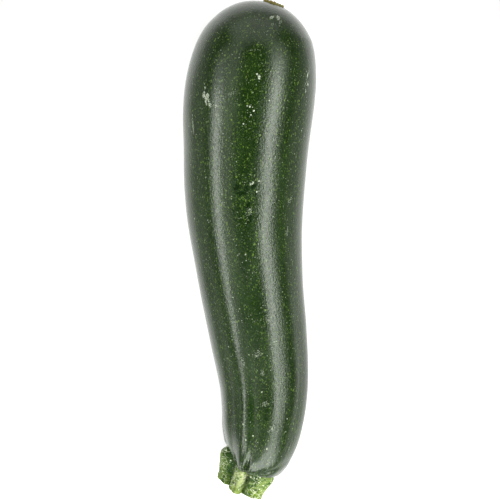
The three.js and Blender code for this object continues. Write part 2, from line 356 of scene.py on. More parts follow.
class Wiring:
    """Adds nodes to a material and links them, so that each material reads as a list of steps."""

    def __init__(self, name):
        self.material = bpy.data.materials.new(name)
        self.material.use_nodes = True
        self.nodes = self.material.node_tree.nodes
        self.links = self.material.node_tree.links
        self.nodes.clear()

    def add(self, kind, inputs=None, **settings):
        made = self.nodes.new(kind)
        for name, value in settings.items():
            setattr(made, name, value)
        for key, value in (inputs or {}).items():
            if isinstance(value, bpy.types.NodeSocket):
                self.links.new(value, made.inputs[key])
            else:
                made.inputs[key].default_value = value
        return made

    def painted(self, name, out="Fac"):
        return self.add("ShaderNodeAttribute", attribute_name=name).outputs[out]

    def math(self, operation, a, b=0.0, c=0.0, clamp=False):
        made = self.add("ShaderNodeMath", {0: a, 1: b, 2: c}, operation=operation, use_clamp=clamp)
        return made.outputs[0]

    def product(self, a, b):
        return self.math("MULTIPLY", a, b)

    def scaled(self, vector, x, y, z):
        made = self.add("ShaderNodeVectorMath", {0: vector, 1: (x, y, z)}, operation="MULTIPLY")
        return made.outputs[0]

    def moved(self, vector, offset):
        return self.add("ShaderNodeVectorMath", {0: vector, 1: offset}, operation="ADD").outputs[0]

    def noise(self, vector, scale, detail=2.0, roughness=0.5, out="Fac"):
        inputs = {"Vector": vector, "Scale": scale, "Detail": detail, "Roughness": roughness}
        return self.add("ShaderNodeTexNoise", inputs).outputs[out]

    def step(self, value, low, high, to_low=0.0, to_high=1.0):
        """A smooth step of value from low to high; low may be the larger."""
        inputs = {"Value": value, "From Min": low, "From Max": high, "To Min": to_low, "To Max": to_high}
        return self.add("ShaderNodeMapRange", inputs, interpolation_type="SMOOTHSTEP").outputs["Result"]

    def mix(self, share, first, second):
        made = self.add("ShaderNodeMix", {0: share, 6: first, 7: second}, data_type="RGBA")
        return made.outputs[2]

    def spots(self, vector, scale, least, most, softness=0.5):
        """Round spots, one to a cell, whose radius varies from least to most as a share of the cell."""
        cells = self.add("ShaderNodeTexVoronoi", {"Vector": vector, "Scale": scale})
        draw = self.add("ShaderNodeSeparateColor", {0: cells.outputs["Color"]})
        radius = self.math("MULTIPLY_ADD", draw.outputs[0], most - least, least)
        core = self.math("MULTIPLY", radius, 1.0 - softness)
        return self.step(cells.outputs["Distance"], radius, core), draw

    def finish(self, inputs, height=None, height_size=0.0):
        if height is not None:
            relief = {"Height": height, "Distance": height_size, "Strength": 1.0}
            inputs["Normal"] = self.add("ShaderNodeBump", relief).outputs[0]
        shader = self.add("ShaderNodeBsdfPrincipled", inputs)
        self.add("ShaderNodeOutputMaterial", {"Surface": shader.outputs[0]})
        return self.material


def tube(name, rings, first_end=None, last_end=None):
    """A mesh through rings of points, closed by a fan to a point at either end where one is given."""
    count, sides = rings.shape[:2]
    ring, side = np.meshgrid(np.arange(count - 1), np.arange(sides), indexing="ij")
    after = (side + 1) % sides
    quads = np.stack(
        [ring * sides + side, (ring + 1) * sides + side, (ring + 1) * sides + after, ring * sides + after],
        axis=-1,
    ).reshape(-1, 4)
    points = [tuple(p) for p in rings.reshape(-1, 3)]
    faces = quads.tolist()
    if first_end is not None:
        points.append(tuple(first_end))
        faces += [(len(points) - 1, k, (k + 1) % sides) for k in range(sides)]
    if last_end is not None:
        points.append(tuple(last_end))
        start = (count - 1) * sides
        faces += [(len(points) - 1, start + (k + 1) % sides, start + k) for k in range(sides)]
    mesh = bpy.data.meshes.new(name)
    mesh.from_pydata(points, [], faces)
    mesh.polygons.foreach_set("use_smooth", [True] * len(mesh.polygons))
    mesh.update()
    piece = bpy.data.objects.new(name, mesh)
    bpy.context.scene.collection.objects.link(piece)
    return piece


def paint(piece, name, values, ends):
    """Stores a number or a place at each point of a tube: rings of values, then one for each end."""
    rows = np.asarray(values, float)
    vector = rows.ndim == 3
    flat = rows.reshape(-1, 3) if vector else rows.reshape(-1)
    full = np.concatenate([flat, np.asarray(ends, float).reshape((-1, 3) if vector else -1)])
    kind = "FLOAT_VECTOR" if vector else "FLOAT"
    layer = piece.data.attributes.new(name, kind, "POINT")
    layer.data.foreach_set("vector" if vector else "value", full.astype(np.float32).ravel())


def lay_lines(piece, name, across, along, sides):
    """A map in metres over a tube, across and along it, that is cut open under the piece."""
    mesh = piece.data
    corners = np.empty(len(mesh.loops), np.int64)
    mesh.loops.foreach_get("vertex_index", corners)
    flat_across = across.reshape(-1)
    flat_along = along.reshape(-1)
    known = corners < len(flat_across)
    index = np.where(known, corners, 0)
    u = flat_across[index]
    v = flat_along[index]
    quads = (across.shape[0] - 1) * sides
    last_side = np.repeat(np.arange(quads) % sides == sides - 1, 4)
    wraps = np.zeros(len(corners), bool)
    wraps[: quads * 4] = last_side & (corners[: quads * 4] % sides == 0)
    u = np.where(wraps, -u, u)
    layer = mesh.uv_layers.new(name=name)
    layer.data.foreach_set("uv", np.stack([u, v], axis=-1).astype(np.float32).ravel())


def dress(piece, material, node):
    piece.data.materials.append(material)
    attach(piece, "root")
    if node:
        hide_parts(node)


class FruitSettings(bpy.types.PropertyGroup):
    rib_height: FloatProperty(
        name="Rib height", description="How far the five strong ribs stand at the neck",
        default=STRONG_RIB, min=0.0, unit="LENGTH",
    )
    weak_rib_height: FloatProperty(
        name="Weak rib height", description="How far the ribs between the strong ones stand",
        default=WEAK_RIB, min=0.0, unit="LENGTH",
    )
    lump_height: FloatProperty(
        name="Lump height", description="How uneven the skin is over a centimetre or two",
        default=0.12 * MM, min=0.0, unit="LENGTH",
    )
    wrinkle_height: FloatProperty(
        name="Wrinkle height", description="Depth of the fine lengthwise wrinkles at the neck",
        default=0.03 * MM, min=0.0, unit="LENGTH",
    )
    dark_green: FloatVectorProperty(
        name="Dark green", description="The deepest green of the skin", subtype="COLOR", size=4,
        default=(0.0027, 0.01, 0.0006, 1.0), min=0.0, max=1.0,
    )
    mid_green: FloatVectorProperty(
        name="Middle green", description="The lighter green that clouds the skin", subtype="COLOR", size=4,
        default=(0.0065, 0.0165, 0.0028, 1.0), min=0.0, max=1.0,
    )
    fleck: FloatVectorProperty(
        name="Fleck", description="Colour of the small light flecks", subtype="COLOR", size=4,
        default=(0.083, 0.136, 0.021, 1.0), min=0.0, max=1.0,
    )
    scar: FloatVectorProperty(
        name="Healed scar", description="Colour of the dry pale scars", subtype="COLOR", size=4,
        default=(0.26, 0.28, 0.22, 1.0), min=0.0, max=1.0,
    )
    gloss: FloatProperty(
        name="Roughness", description="Roughness of the waxy skin", subtype="FACTOR",
        default=0.21, min=0.0, max=1.0,
    )


class StemSettings(bpy.types.PropertyGroup):
    ridge: FloatVectorProperty(
        name="Ridge", description="Pale colour of the stem's ridges", subtype="COLOR", size=4,
        default=(0.2, 0.235, 0.085, 1.0), min=0.0, max=1.0,
    )
    flank: FloatVectorProperty(
        name="Flank", description="Green of the stem's flanks", subtype="COLOR", size=4,
        default=(0.045, 0.09, 0.004, 1.0), min=0.0, max=1.0,
    )
    # The hollows' green is partly the stem's own and partly painted shade.
    hollow: FloatVectorProperty(
        name="Hollow", description="Deep green of the hollows between the ridges", subtype="COLOR", size=4,
        default=(0.003, 0.016, 0.001, 1.0), min=0.0, max=1.0,
    )
    cut: FloatVectorProperty(
        name="Cut face", description="Colour of the freshly cut flesh", subtype="COLOR", size=4,
        default=(0.21, 0.24, 0.11, 1.0), min=0.0, max=1.0,
    )
    bristles: IntProperty(name="Bristles", description="Number of short bristles", default=700, min=0)
    bristle_length: FloatProperty(
        name="Bristle length", description="Length of the longest bristles",
        default=0.8 * MM, min=0.0, unit="LENGTH",
    )
    seed: IntProperty(name="Seed", description="Seed for the bristles' places", default=7)


class ScarSettings(bpy.types.PropertyGroup):
    rim: FloatVectorProperty(
        name="Rim", description="Colour of the scar's dry rim", subtype="COLOR", size=4,
        default=(0.17, 0.09, 0.022, 1.0), min=0.0, max=1.0,
    )
    middle: FloatVectorProperty(
        name="Middle", description="Colour of the dished middle", subtype="COLOR", size=4,
        default=(0.2, 0.15, 0.06, 1.0), min=0.0, max=1.0,
    )


class StageSettings(bpy.types.PropertyGroup):
    floor: FloatVectorProperty(
        name="Floor", description="Colour of the pale floor", subtype="COLOR", size=4,
        default=(0.78, 0.748, 0.793, 1.0), min=0.0, max=1.0,
    )
    # How much of its colour the floor keeps where the painted pool of light has ended.
    painted_pool_edge: FloatProperty(
        name="Floor edge", description="How much of its brightness the floor keeps away from the fruit",
        subtype="FACTOR", default=0.22, min=0.0, max=1.0,
    )
    key_light: FloatProperty(
        name="Key lights", description="Brightness of the lights on both sides of the fruit",
        default=8.5, min=0.0,
    )
    fill_light: FloatProperty(
        name="Fill lights", description="Brightness of the weaker, broader lights",
        default=2.0, min=0.0,
    )
    end_light: FloatProperty(
        name="End light", description="Brightness of the light beyond the stem", default=6.0, min=0.0,
    )
    surround: FloatProperty(
        name="Surround", description="Brightness of the room at the height of the table",
        default=0.06, min=0.0,
    )


def fruit_rings():
    """Distances back for rings that are evenly spaced over the skin, from the pole to the lip."""
    fine = np.linspace(0.0, 1.0, ARC_STEPS) ** 2 * (FRUIT_LENGTH - LIP)
    radius = fruit_radius(fine)
    length = np.concatenate([[0.0], np.cumsum(np.hypot(np.diff(fine), np.diff(radius)))])
    first = np.interp(POLE_RADIUS, radius[: len(radius) // 4], length[: len(radius) // 4])
    return np.interp(np.linspace(first, length[-1], FRUIT_RINGS), length, fine)


def plain_middle():
    """Where the middle of the fruit's box lies before the part is set over its origin."""
    back = fruit_rings()[:, None]
    angle = np.linspace(-180, 180, FRUIT_SIDES, endpoint=False)[None, :]
    side, rise = section_frame(fruit_along(back))
    ribs = rib_heights(back, angle, STRONG_RIB, WEAK_RIB)
    radius = fruit_radius(back) + ribs - shoulder_hollow(back, angle)
    points = section_points(fruit_centre(back), side, rise, angle, radius)
    return (points.min(axis=(0, 1)) + points.max(axis=(0, 1))) / 2, points[..., 1].max()


def seat_offset():
    """How far the part was moved to bring its origin under its middle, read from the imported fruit."""
    low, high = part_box("fruit")
    middle, crown = plain_middle()
    return np.array(((low.x + high.x) / 2 - middle[0], high.y - crown, 0.0))


OFFSET = seat_offset()


def skin_relief(back, angle, place, settings):
    """How far the fine skin stands out from the plain section."""
    relief = rib_heights(back, angle, settings.rib_height, settings.weak_rib_height)
    # The neck's right side is smooth just before the stem.
    smooth = smoothstep(back, *SMOOTH_REACH) * lobe(angle, SMOOTH_SIDE["angle"], SMOOTH_SIDE["half_width"])
    relief = relief * (1 - SMOOTH_SIDE["share"] * smooth)
    relief = relief - shoulder_hollow(back, angle) + swells(back, angle)
    # A low shoulder runs along each side, with a shallow hollow above it.
    flank = smoothstep(back, *FLANK_START) * (1 - smoothstep(back, *FLANK_END))
    for side in (-1, 1):
        for middle, half_width, out in FLANK:
            relief = relief + flank * out * MM * lobe(angle, side * middle, half_width)
    lumps = soft_noise(place, LUMP_SIZE, (1.0, 1.0, 0.5))
    relief = relief + settings.lump_height * lumps * smoothstep(back, *LUMP_REACH)
    wrinkles = soft_noise(place, WRINKLE_SIZE, (1.0, 1.0, 0.05))
    wrinkled = WRINKLES_ELSEWHERE + smoothstep(back, *WRINKLE_REACH)
    relief = relief + settings.wrinkle_height * wrinkles * wrinkled
    # The rib that carries on from the stem's top ridge is sharp, with a groove on each side.
    off = turn(angle, lerp(*NECK_RIB_LINE, smoothstep(back, *NECK_RIB_BEND)))
    for middle, half_width, out in NECK_RIB:
        relief = relief + smoothstep(back, *NECK_RIB_REACH) * out * MM * bump(off, middle, half_width)
    # Beside the stem the skin is pinched into two narrow folds with a notch between them, and puckered.
    for middle, half_width, out, reach in FOLDS:
        relief = relief + smoothstep(back, *reach) * out * MM * lobe(angle, middle, half_width)
    puckers = soft_noise(place, PUCKER_SIZE, (1.0, 1.0, 0.15))
    relief = relief + smoothstep(back, *NOTCH_REACH) * PUCKER_HEIGHT * puckers
    # A short crease runs round the right of the stem.
    crease_back = CREASE_START["back"] - turn(angle, CREASE_START["angle"]) * CREASE_START["slope"]
    crease = lobe(angle, CREASE["angle"], CREASE["half_width"]) * bump(back, crease_back, CREASE["width"])
    return relief - CREASE["depth"] * crease


def build_fruit(settings):
    back_rings = fruit_rings()
    angle = np.linspace(-180, 180, FRUIT_SIDES, endpoint=False)
    lip_turn = np.linspace(0, math.pi / 2, LIP_RINGS + 1)[1:]
    end_share = np.linspace(1.0, POLE_SHARE, END_RINGS + 1)[1:]
    lip_back = FRUIT_LENGTH - LIP + LIP * np.sin(lip_turn)
    lip_inset = LIP * (1 - np.cos(lip_turn))
    back = np.concatenate([back_rings, lip_back, np.full(END_RINGS, FRUIT_LENGTH)])
    inset = np.concatenate([np.zeros(FRUIT_RINGS), lip_inset, np.full(END_RINGS, LIP)])
    shrink = np.concatenate([np.ones(FRUIT_RINGS + LIP_RINGS), end_share])
    back_grid, angle_grid = back[:, None], angle[None, :]
    local = fruit_radius(back_grid)
    even_girth = lerp(through(GIRTH, back_grid), PATTERN_GIRTH, PATTERN_EVENNESS)
    place_radius = fruit_dome(back_grid) * even_girth
    turned = np.radians(angle_grid)
    place = np.stack(
        [
            place_radius * np.sin(turned),
            place_radius * np.cos(turned),
            np.broadcast_to(back_grid, (len(back), FRUIT_SIDES)),
        ],
        axis=-1,
    )
    relief = skin_relief(back_grid, angle_grid, place, settings)
    radius = (local + relief - inset[:, None]) * shrink[:, None]
    side, rise = section_frame(fruit_along(back_grid))
    sunk = fruit_along(back_grid) * (-(1 - shrink[:, None]) * END_HOLLOW)[..., None]
    points = section_points(fruit_centre(back_grid), side, rise, angle_grid, radius) + sunk
    points[..., 2] = np.maximum(points[..., 2], 0.0)
    points = points + OFFSET
    pole = points[0].mean(axis=0)
    end = points[-1].mean(axis=0)
    piece = tube("fruit_skin", points, pole, end)
    paint(piece, "skin_place", place, [(0.0, 0.0, 0.0), (0.0, 0.0, FRUIT_LENGTH)])
    # The grooves' mask, for a darker green that is partly painted shade.
    groove = sum(lobe(angle_grid, FIRST_RIB + off, GROOVE_HALF_WIDTH) for off in GROOVES)
    paint(piece, "groove", groove * smoothstep(back_grid, *GROOVE_REACH), (0.0, 0.0))
    across = turned * local
    lay_lines(piece, "skin_lines", across, np.broadcast_to(back_grid, across.shape), FRUIT_SIDES)
    return piece


# Marks on the skin in mm: arc from the top line towards +X, distance back, length, width; turn in degrees.
SCUFFS = (
    (-18.7, 37.0, 2.9, 2.1, -20),
    (-16.9, 37.6, 3.2, 2.3, 10),
    (-17.4, 38.9, 4.4, 1.2, -25),
    (-15.7, 39.4, 3.8, 1.1, -18),
    (-15.0, 40.4, 1.8, 1.4, 0),
    (-18.6, 34.7, 1.2, 1.0, 0),
    (-12.4, 40.5, 1.6, 1.2, 0),
    (2.6, 28.4, 2.6, 1.2, 0),
    (1.6, 27.4, 1.4, 1.0, 0),
    (24.2, 24.0, 3.2, 1.2, 10),
    (25.4, 27.5, 2.6, 1.0, -15),
    (24.6, 30.5, 2.2, 1.0, 0),
    (2.3, 5.6, 2.0, 1.4, 60),
    (4.6, 5.2, 2.8, 1.6, -40),
    (2.8, 67.2, 2.4, 1.1, 55),
)
FAINT_SCUFFS = (
    (-10.4, 44.8, 4.6, 2.4, -12),
    (-6.5, 35.4, 5.4, 2.2, 48),
    (5.8, 6.9, 3.4, 1.6, 15),
    (3.7, 7.9, 3.0, 1.4, 70),
    (24.8, 22.9, 6.6, 2.2, 20),
    (24.0, 27.3, 5.2, 2.5, 0),
    (-1.0, 130.4, 4.6, 4.0, 20),
    (-0.4, 137.7, 3.4, 2.6, 0),
    (0.4, 150.6, 4.6, 2.8, 60),
    (19.5, 74.1, 5.2, 2.2, 40),
    (17.3, 86.8, 6.4, 1.8, 20),
    (1.5, 78.0, 6.0, 3.0, 30),
    (6.0, 170.3, 5.6, 1.6, 75),
    (3.8, 159.7, 5.0, 3.0, 30),
    (-7.0, 133.0, 5.0, 2.0, -10),
    (4.6, 118.0, 5.0, 3.0, 0),
)
SPECKS = (
    (0.6, 39.4, 1.2, 0.88, 30),
    (2.2, 40.7, 1.28, 0.96, 40),
    (1.3, 42.3, 0.88, 0.8, 0),
    (-1.2, 45.7, 0.96, 0.8, 0),
    (-0.4, 39.2, 0.8, 0.64, 0),
    (7.6, 36.3, 0.88, 0.72, 0),
    (4.6, 70.4, 1.2, 0.88, 20),
    (5.4, 66.4, 0.8, 0.96, 0),
    (-2.8, 163.6, 0.96, 0.8, 0),
    (-5, 165.6, 0.8, 0.8, 0),
    (3.4, 166.8, 0.88, 0.8, 0),
    (-7.2, 159.2, 0.96, 0.72, 0),
    (3.8, 159.7, 0.8, 0.72, 30),
    (-0.9, 145.7, 1.12, 0.56, 35),
)
WORN = (
    (-0.8, 106.0, 34.0, 8.0, -6),
    (-3.6, 117.0, 28.0, 7.0, -12),
    (-6.2, 127.0, 22.0, 6.0, -12),
    (-1.2, 92.0, 24.0, 7.0, 0),
)
RUBS = (
    (-2.9, 68.8, 4.2, 2.8, 60),
    (-1.5, 71.0, 3.6, 1.9, 75),
    (0.6, 69.8, 4.4, 1.8, 20),
    (3.4, 68.4, 3.4, 1.6, 50),
    (4.3, 71.0, 2.4, 1.3, 20),
    (1.2, 75.5, 4.0, 1.6, 20),
    (1.7, 80.4, 4.6, 2.0, 15),
    (7.6, 101.2, 2.8, 1.3, 75),
    (-17.0, 38.2, 1.6, 0.9, -25),
    (2.4, 171.6, 4.0, 1.0, 15),
    (3.6, 172.4, 3.4, 0.9, -10),
    (1.6, 172.9, 3.0, 0.9, 30),
)
SCRATCHES = (
    (-24.1, 47.4, 8.0, 0.8, -12),
    (6.4, 126.9, 3.4, 0.7, 82),
)


def marks(wiring, lines, rows):
    """The falloff of the nearest of several marks: 1 in the middle of a mark, 0 at its edge and beyond."""
    together = 0.0
    for arc, back, length, width, angle in rows:
        placed = wiring.add(
            "ShaderNodeMapping",
            {
                "Vector": lines,
                "Location": (arc * MM, back * MM, 0.0),
                "Rotation": (0.0, 0.0, math.radians(angle)),
                "Scale": (width / 2 * MM, length / 2 * MM, 1.0),
            },
            vector_type="TEXTURE",
        )
        ball = wiring.add("ShaderNodeTexGradient", {0: placed.outputs[0]}, gradient_type="SPHERICAL")
        together = wiring.math("MAXIMUM", ball.outputs["Fac"], together)
    return together


# Colours of the skin that go with its greens, and how the wax gleams.
GROOVE_GREEN_AND_SHADE = (0.003, 0.014, 0.001, 1.0)
RUBBED_GREEN = (0.0012, 0.006, 0.0005, 1.0)
WAX_IOR = 1.4
WAX_VARIATION = (-0.03, 0.06)
PALE_ROUGHER = 0.35
RUBBED_SMOOTHER = -0.13
SKIN_GRAIN = 0.095 * MM
# The speckle that tears the marks' edges: how strong it is, and the value at which it leaves them alone.
TEAR = (4.4, -2.3)
MARK_CEILING = 0.55


def skin_material(settings):
    """Waxy dark green skin: clouded greens, light flecks, pale dust, healed scars and rubbed places."""
    w = Wiring("waxy_green_skin")
    place = w.painted("skin_place", "Vector")
    lines = w.add("ShaderNodeUVMap", uv_map="skin_lines").outputs[0]

    clouds = w.noise(w.scaled(place, 1.0, 1.0, 0.35), scale=150.0, detail=4.0, roughness=0.62)
    streaks = w.noise(w.scaled(place, 1.0, 1.0, 0.09), scale=900.0)
    bloom = w.step(w.math("MULTIPLY_ADD", streaks, 0.3, clouds), 0.5, 0.82)
    green = w.mix(bloom, settings.dark_green, settings.mid_green)

    # Light flecks, a little longer than wide, gathered in loose rows along the fruit and of uneven strength.
    jitter = w.noise(place, scale=1500.0, out="Color")
    ragged = w.moved(place, w.scaled(jitter, 0.7 * MM, 0.7 * MM, 0.9 * MM))
    gathered = w.noise(w.scaled(place, 1.0, 1.0, 0.25), scale=300.0)
    long_cells = w.scaled(ragged, 1.0, 1.0, 0.62)
    flecks, fleck_draw = w.spots(long_cells, scale=800.0, least=0.12, most=0.34)
    flecks = w.product(flecks, w.step(gathered, 0.36, 0.56, 0.3, 0.9))
    flecks = w.product(flecks, w.math("MULTIPLY_ADD", fleck_draw.outputs[1], 0.75, 0.05))
    small_cells = w.scaled(w.moved(ragged, (0.013, 0.007, 0.0)), 1.0, 1.0, 0.7)
    small, small_draw = w.spots(small_cells, scale=1250.0, least=0.14, most=0.4)
    small = w.product(small, w.product(small_draw.outputs[1], 0.7))
    green = w.mix(small, green, settings.fleck)
    green = w.mix(flecks, green, settings.fleck)
    # Darker green in the grooves, partly the skin's own and partly painted shade.
    in_groove_green_and_shade = w.math("MULTIPLY", w.painted("groove"), 0.6, clamp=True)
    green = w.mix(in_groove_green_and_shade, green, GROOVE_GREEN_AND_SHADE)

    # Tiny pale dots in loose clusters, and finer dust all over.
    clustered = w.noise(w.moved(place, (0.03, 0.0, 0.0)), scale=95.0)
    dot_cells = w.moved(ragged, (0.0, 0.021, 0.0))
    dots, dot_draw = w.spots(dot_cells, scale=430.0, least=0.03, most=0.14, softness=0.4)
    chosen = w.step(dot_draw.outputs[1], 0.5, 0.6)
    dots = w.product(dots, w.product(chosen, w.step(clustered, 0.48, 0.6)))
    dust_cells = w.moved(place, (0.011, 0.0, 0.017))
    dust, dust_draw = w.spots(dust_cells, scale=1150.0, least=0.1, most=0.34, softness=0.6)
    dust = w.product(dust, w.step(dust_draw.outputs[1], 0.4, 1.0, 0.0, 0.45))

    speckle = w.noise(place, scale=2300.0, roughness=0.7)
    green = w.mix(w.step(speckle, 0.52, 0.8, 0.0, 0.45), green, settings.fleck)

    def torn(rows, low, high):
        """Marks broken up by the speckle, which stays inside them."""
        inside = w.math("MINIMUM", marks(w, lines, rows), MARK_CEILING)
        edge = w.math("MULTIPLY_ADD", speckle, *TEAR)
        broken = w.step(w.math("ADD", inside, edge), low, high)
        return w.product(broken, w.step(inside, 0.0, 0.2))

    worn = w.product(torn(WORN, 0.1, 0.9), 0.6)
    rubs = torn(RUBS, 0.0, 0.3)
    green = w.mix(worn, green, settings.dark_green)
    green = w.mix(w.product(rubs, 0.95), green, RUBBED_GREEN)
    pale = torn(SCUFFS, 0.15, 0.45)
    for marking in (
        w.product(torn(SCRATCHES, 0.1, 0.5), 0.5),
        w.product(torn(FAINT_SCUFFS, 0.45, 0.9), 0.4),
        w.product(dots, 0.85),
        w.step(marks(w, lines, SPECKS), 0.2, 0.6),
        dust,
    ):
        pale = w.math("MAXIMUM", pale, marking)
    colour = w.mix(pale, green, settings.scar)

    grain = w.noise(w.scaled(place, 1.0, 1.0, 0.7), scale=1400.0, roughness=0.6)
    roughness = w.step(grain, 0.3, 0.7, *(settings.gloss + change for change in WAX_VARIATION))
    roughness = w.math("MULTIPLY_ADD", pale, PALE_ROUGHER, roughness)
    roughness = w.math("MULTIPLY_ADD", w.math("MAXIMUM", rubs, worn), RUBBED_SMOOTHER, roughness)
    # Wax looks glossier at a shallow angle.
    shallow = w.add("ShaderNodeLayerWeight", {"Blend": 0.5}).outputs["Facing"]
    roughness = w.product(roughness, w.step(shallow, 0.35, 0.75, 1.0, 0.5))
    height = w.math("MULTIPLY_ADD", pale, 0.5, grain)
    height = w.math("MULTIPLY_ADD", flecks, -0.3, height)
    return w.finish({"Base Color": colour, "Roughness": roughness, "IOR": WAX_IOR}, height, SKIN_GRAIN)


class COURGETTE_OT_fruit(bpy.types.Operator):
    """Build the ribbed fruit with its waxy, flecked skin"""

    bl_idname = "courgette.fruit"
    bl_label = "Fruit"

    def execute(self, context):
        settings = context.scene.courgette_fruit
        dress(build_fruit(settings), skin_material(settings), "fruit")
        return {"FINISHED"}


def stem_direction():
    level = math.cos(STEM_DIP)
    return np.array((-math.sin(STEM_LEAN) * level, -math.cos(STEM_LEAN) * level, -math.sin(STEM_DIP)))


def stem_section(angle, flare):
    """The stem's radius at an angle, and how near that is to a ridge: 1 on a ridge, 0 in a hollow."""
    count = len(STEM_SECTION)
    rounding, lift = RIDGE_BLUNTNESS
    radius = np.zeros(np.broadcast(angle, flare).shape)
    near = np.zeros_like(radius)
    for k in range(count):
        here, after = STEM_SECTION[k], STEM_SECTION[(k + 1) % count]
        span = float(turn(after[0], here[0]))
        off = turn(angle, here[0])
        inside = (off >= 0) & (off <= span)
        share = off / span
        rise = share if k % 2 else 1 - share
        ridge, hollow = (after, here) if k % 2 else (here, after)
        ridge_size = lerp(ridge[1], ridge[2], flare) * MM
        hollow_size = lerp(hollow[1], hollow[2], flare) * MM
        blunt = 1 - np.sqrt((1 - np.clip(rise, 0, 1)) ** 2 + rounding) + lift
        size = hollow_size + (ridge_size - hollow_size) * np.clip(blunt, 0, 1) ** RIDGE_POWER
        radius = np.where(inside, size, radius)
        near = np.where(inside, rise, near)
    return radius, near


def build_stem():
    along = np.linspace(0.0, STEM_LENGTH, STEM_RINGS)[:, None]
    angle = np.linspace(-180, 180, STEM_SIDES, endpoint=False)[None, :]
    share = along / STEM_LENGTH
    flare = 1 - smoothstep(along, 0.0, STEM_LENGTH)
    tuck = 1 - FOOT_TUCK * (1 - smoothstep(along, 0.0, FOOT_TUCK_LENGTH))
    radius, near = stem_section(angle + STEM_TWIST * (1 - share), flare)
    radius = radius * tuck
    turned = np.radians(angle)
    place = np.stack(
        [
            np.broadcast_to(PATTERN_RADIUS * np.sin(turned), radius.shape),
            np.broadcast_to(PATTERN_RADIUS * np.cos(turned), radius.shape),
            np.broadcast_to(along, radius.shape),
        ],
        axis=-1,
    )
    fibres = soft_noise(place, FIBRE_SIZE, (1.0, 1.0, 0.12))
    warts = soft_noise(place, WART_SIZE, (1.0, 1.0, 0.8), 3)
    radius = radius + FIBRE_HEIGHT * fibres + WART_HEIGHT * warts
    radius = radius - HOLLOW_DEPTH * (1 - near) ** HOLLOW_SHARPNESS
    direction = stem_direction()
    side, rise = section_frame(direction)
    torn = CUT_TEAR * soft_noise(place[-1], CUT_TEAR_SIZE)
    reach = along + torn[None, :] * smoothstep(along, CUT_TEAR_START, STEM_LENGTH)
    centre = STEM_FOOT + direction * reach[..., None]
    body = section_points(centre, side, rise, angle, radius)

    inward = np.linspace(1.0, CUT_POLE_SHARE, CUT_RINGS + 1)[1:][:, None]
    cut_place = np.broadcast_to(place[-1], (CUT_RINGS, STEM_SIDES, 3)) * inward[..., None]
    dome = CUT_BULGE * (1 - inward**2) - CUT_DIMPLE * bump(inward, 0.0, CUT_DIMPLE_REACH)
    dome = dome + CUT_PITH * soft_noise(cut_place, CUT_PITH_SIZE)
    edge = torn[None, :] * inward
    face_centre = STEM_FOOT + direction * (STEM_LENGTH + dome + edge)[..., None]
    cut = section_points(face_centre, side, rise, angle, radius[-1] * inward)
    points = np.concatenate([body, cut]) + OFFSET
    piece = tube("stem_stub", points, points[0].mean(axis=0), points[-1].mean(axis=0))

    def onto_cut(values):
        """The rings' values, with the last ring's carried over the cut face."""
        return np.concatenate([values, np.broadcast_to(values[-1], cut.shape[:2])])

    all_place = np.concatenate([place, cut_place + np.array((0.0, 0.0, STEM_LENGTH))])
    paint(piece, "stem_place", all_place, [(0.0, 0.0, 0.0), (0.0, 0.0, STEM_LENGTH)])
    paint(piece, "ridge", onto_cut(near), (0.0, 0.0))
    # The ridge in the middle, on top, is the palest and the one on the left the greenest: partly their own
    # colours and partly painted light on the ridges that face up; near the foot the paleness gives way to
    # painted shade.
    pale = sum(much * lobe(angle, middle, half_width) for middle, half_width, much in PALE_AND_LIT_RIDGES)
    tint = (OTHER_RIDGES + pale) * lerp(PALE_IN_FOOT_SHADE, 1.0, smoothstep(share, *PALE_START))
    paint(piece, "ridge_paleness_and_light", onto_cut(tint), (0.0, 0.0))
    # Painted shade in two hollows and at the foot under the fruit.
    shade = sum(much * lobe(angle, middle, half_width) for middle, half_width, much in SHADED_HOLLOWS)
    shade = shade + lobe(angle, *SHADED_FOOT) * (1 - smoothstep(share, *FOOT_SHADE_END))
    paint(piece, "shaded", onto_cut(shade), (0.0, 0.0))
    down = np.concatenate([np.broadcast_to(share, radius.shape), np.ones(cut.shape[:2])])
    paint(piece, "down_stem", down, (0.0, 1.0))
    depth = np.concatenate([np.zeros(radius.shape), np.broadcast_to(1 - inward, cut.shape[:2])])
    paint(piece, "cut_depth", depth, (0.0, 1.0))
    return piece


# Colours of the stem that go with its ridges, flanks and hollows, with the deep green of its painted shade.
RIDGE_CREAM = (0.3, 0.32, 0.17, 1.0)
LOWER_GREEN = (0.085, 0.13, 0.004, 1.0)
SHADED_GREEN = (0.008, 0.032, 0.001, 1.0)
THREAD_CREAM = (0.32, 0.34, 0.22, 1.0)
DOT_CREAM = (0.5, 0.51, 0.38, 1.0)
GRAIN_CREAM = (0.6, 0.62, 0.5, 1.0)
FLESH_GREEN = (0.15, 0.19, 0.06, 1.0)
BUNDLE_GREEN = (0.07, 0.12, 0.02, 1.0)
DRY_MIDDLE = (0.26, 0.26, 0.15, 1.0)
STEM_IOR = 1.22
STEM_RELIEF = 0.22 * MM


